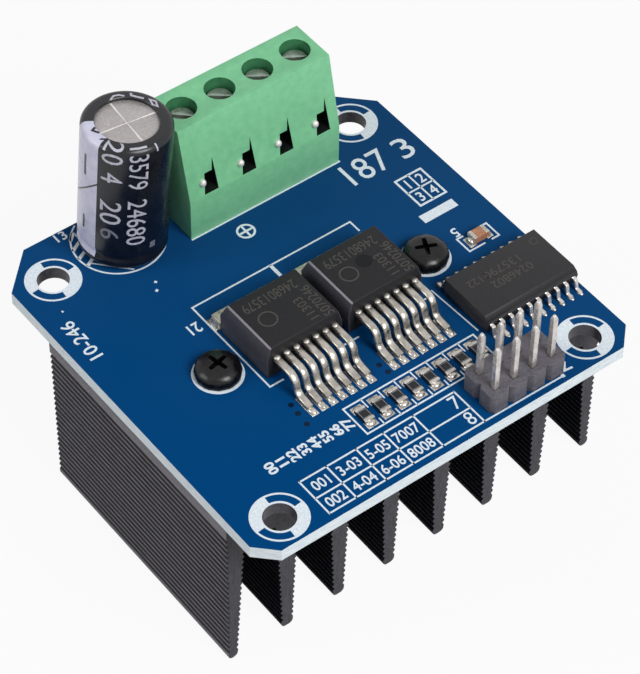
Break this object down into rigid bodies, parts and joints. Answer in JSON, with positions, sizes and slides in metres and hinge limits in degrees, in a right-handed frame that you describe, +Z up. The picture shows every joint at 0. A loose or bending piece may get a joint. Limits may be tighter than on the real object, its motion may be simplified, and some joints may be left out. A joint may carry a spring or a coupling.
{
  "type": "dc motor driver module",
  "caption": "Square blue circuit board on a finned black heatsink, with a clamp terminal block, a tall capacitor, two power packages with formed leads, a buffer chip and an upright pin header.",
  "frame": {"origin": "on the surface that the fin tips stand on, under the centre of the circuit board", "axes": "+X along the edge that carries the pin header, +Y towards the terminal block, +Z up through the board"},
  "size_m": [0.05, 0.05, 0.0425],
  "materials": {
    "solder_mask": "satin blue solder mask on glass epoxy",
    "anodised_aluminium": "black anodised",
    "silicone_pad": "matte",
    "black_steel": "black oxide",
    "printed_sleeve": "glossy shrink sleeve",
    "can_aluminium": "satin",
    "bung_rubber": "matte",
    "tinned_copper": "bright tin",
    "terminal_plastic": "satin green",
    "zinc_steel": "zinc plated",
    "nickel_brass": "nickel plated",
    "header_plastic": "satin",
    "package_resin": "fine matte",
    "slug_copper": "tinned",
    "chip_ceramic": "glazed with tinned ends"
  },
  "bodies": {
    "module": {"circuit_board": "solder_mask", "heatsink": "anodised_aluminium", "thermal_pad": "silicone_pad", "heatsink_screw_left": "black_steel", "heatsink_screw_right": "black_steel", "capacitor_sleeve": "printed_sleeve", "capacitor_can": "can_aluminium", "capacitor_bung": "bung_rubber", "capacitor_lead_negative": "tinned_copper", "capacitor_lead_positive": "tinned_copper", "terminal_housing": "terminal_plastic", "terminal_pin_1": "tinned_copper", "terminal_pin_2": "tinned_copper", "terminal_pin_3": "tinned_copper", "terminal_pin_4": "tinned_copper", "header_insulator": "header_plastic", "header_pin_1": "tinned_copper", "header_pin_2": "tinned_copper", "header_pin_3": "tinned_copper", "header_pin_4": "tinned_copper", "header_pin_5": "tinned_copper", "header_pin_6": "tinned_copper", "header_pin_7": "tinned_copper", "header_pin_8": "tinned_copper", "driver_body_left": "package_resin", "driver_slug_left": "slug_copper", "driver_left_lead_1": "tinned_copper", "driver_left_lead_2": "tinned_copper", "driver_left_lead_3": "tinned_copper", "driver_left_lead_4": "tinned_copper", "driver_left_lead_5": "tinned_copper", "driver_left_lead_6": "tinned_copper", "driver_left_lead_7": "tinned_copper", "driver_body_right": "package_resin", "driver_slug_right": "slug_copper", "driver_right_lead_1": "tinned_copper", "driver_right_lead_2": "tinned_copper", "driver_right_lead_3": "tinned_copper", "driver_right_lead_4": "tinned_copper", "driver_right_lead_5": "tinned_copper", "driver_right_lead_6": "tinned_copper", "driver_right_lead_7": "tinned_copper", "buffer_chip": "package_resin", "resistor_1": "chip_ceramic", "resistor_2": "chip_ceramic", "resistor_3": "chip_ceramic", "resistor_4": "chip_ceramic", "resistor_5": "chip_ceramic", "resistor_6": "chip_ceramic", "resistor_7": "chip_ceramic", "resistor_8": "chip_ceramic", "chip_capacitor": "chip_ceramic"},
    "screw_1": {"terminal_screw_1": "zinc_steel"},
    "screw_2": {"terminal_screw_2": "zinc_steel"},
    "screw_3": {"terminal_screw_3": "zinc_steel"},
    "screw_4": {"terminal_screw_4": "zinc_steel"},
    "clamp_1": {"terminal_clamp_1": "nickel_brass"},
    "clamp_2": {"terminal_clamp_2": "nickel_brass"},
    "clamp_3": {"terminal_clamp_3": "nickel_brass"},
    "clamp_4": {"terminal_clamp_4": "nickel_brass"}
  },
  "joints": [
    {"name": "screw_1_turn", "type": "hinge", "parent": "module", "child": "screw_1", "pos_m": [-0.00228, 0.0202, 0.0361], "axis": [0, 0, -1], "range_deg": [0, 1730]},
    {"name": "screw_2_turn", "type": "hinge", "parent": "module", "child": "screw_2", "pos_m": [0.0028, 0.0202, 0.0361], "axis": [0, 0, -1], "range_deg": [0, 1730]},
    {"name": "screw_3_turn", "type": "hinge", "parent": "module", "child": "screw_3", "pos_m": [0.00788, 0.0202, 0.0361], "axis": [0, 0, -1], "range_deg": [0, 1730]},
    {"name": "screw_4_turn", "type": "hinge", "parent": "module", "child": "screw_4", "pos_m": [0.01296, 0.0202, 0.0361], "axis": [0, 0, -1], "range_deg": [0, 1730]},
    {"name": "clamp_1_rise", "type": "slide", "parent": "module", "child": "clamp_1", "axis": [0, 0, 1], "range_m": [0, 0.0024]},
    {"name": "clamp_2_rise", "type": "slide", "parent": "module", "child": "clamp_2", "axis": [0, 0, 1], "range_m": [0, 0.0024]},
    {"name": "clamp_3_rise", "type": "slide", "parent": "module", "child": "clamp_3", "axis": [0, 0, 1], "range_m": [0, 0.0024]},
    {"name": "clamp_4_rise", "type": "slide", "parent": "module", "child": "clamp_4", "axis": [0, 0, 1], "range_m": [0, 0.0024]}
  ],
  "couplings": [
    {"joint": "screw_1_turn", "follows": "clamp_1_rise", "rad_per_m": 12566},
    {"joint": "screw_2_turn", "follows": "clamp_2_rise", "rad_per_m": 12566},
    {"joint": "screw_3_turn", "follows": "clamp_3_rise", "rad_per_m": 12566},
    {"joint": "screw_4_turn", "follows": "clamp_4_rise", "rad_per_m": 12566}
  ]
}
